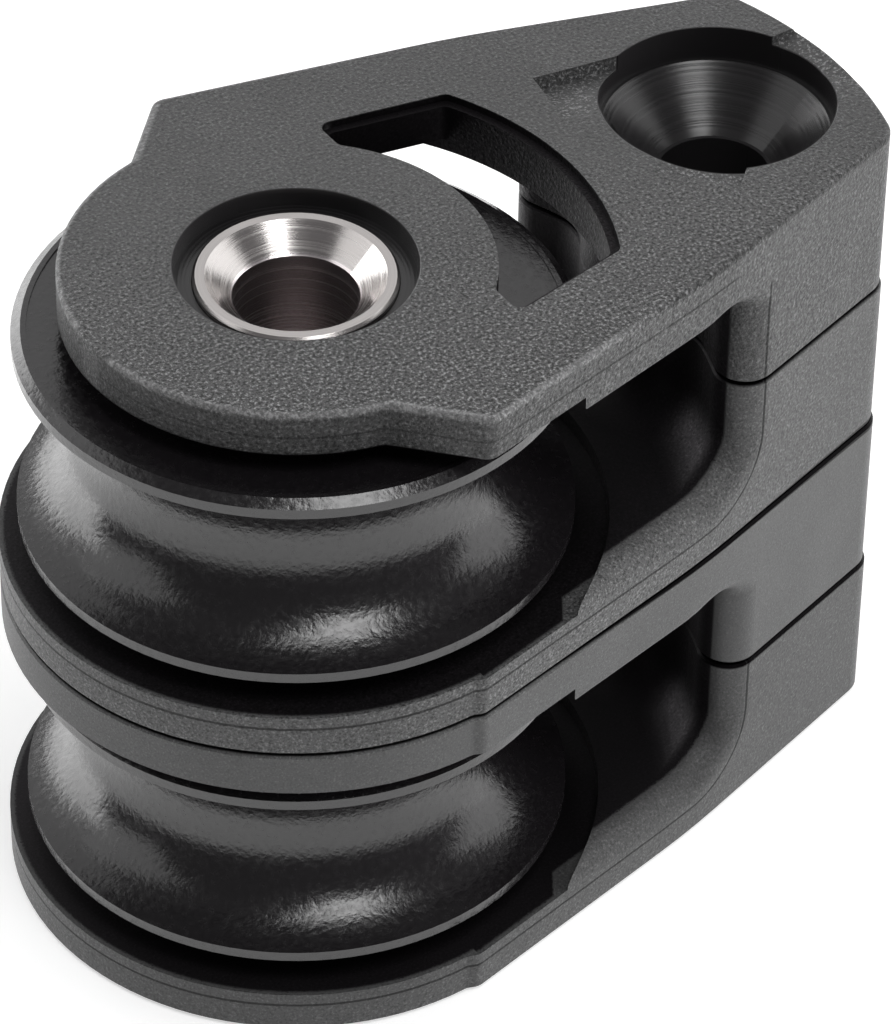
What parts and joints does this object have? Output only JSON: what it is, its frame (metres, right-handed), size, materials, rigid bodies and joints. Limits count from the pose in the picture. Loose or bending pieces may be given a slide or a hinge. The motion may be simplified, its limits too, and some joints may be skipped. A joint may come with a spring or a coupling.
{
  "type": "double cheek block",
  "caption": "Stacked cheek block for small-boat control lines: plain-bearing sheaves in moulded shells, screwed flat to a deck or spar through the axle tube and the tail.",
  "frame": {"origin": "on the sheave axis, in the plane of the base face that meets the mounting surface", "axes": "+Z along the sheave axis, away from the mounting surface; +X from the sheave axis to the tail screw; +Y across"},
  "size_m": [0.0341, 0.0216, 0.0268],
  "materials": {
    "shell": "glass-filled nylon, charcoal, fine moulded grain",
    "sheave": "glossy black acetal",
    "tube": "turned stainless steel"
  },
  "bodies": {
    "housing": {"base_cheek": "shell", "lower_inner_cheek": "shell", "upper_inner_cheek": "shell", "upper_outer_cheek": "shell", "centre_tube": "tube"},
    "lower_wheel": {"lower_sheave": "sheave"},
    "upper_wheel": {"upper_sheave": "sheave"}
  },
  "joints": [
    {"name": "lower_sheave_spin", "type": "hinge", "parent": "housing", "child": "lower_wheel", "pos_m": [0, 0, 0.0067], "axis": [0, 0, 1], "continuous": true},
    {"name": "upper_sheave_spin", "type": "hinge", "parent": "housing", "child": "upper_wheel", "pos_m": [0, 0, 0.0201], "axis": [0, 0, 1], "continuous": true}
  ]
}
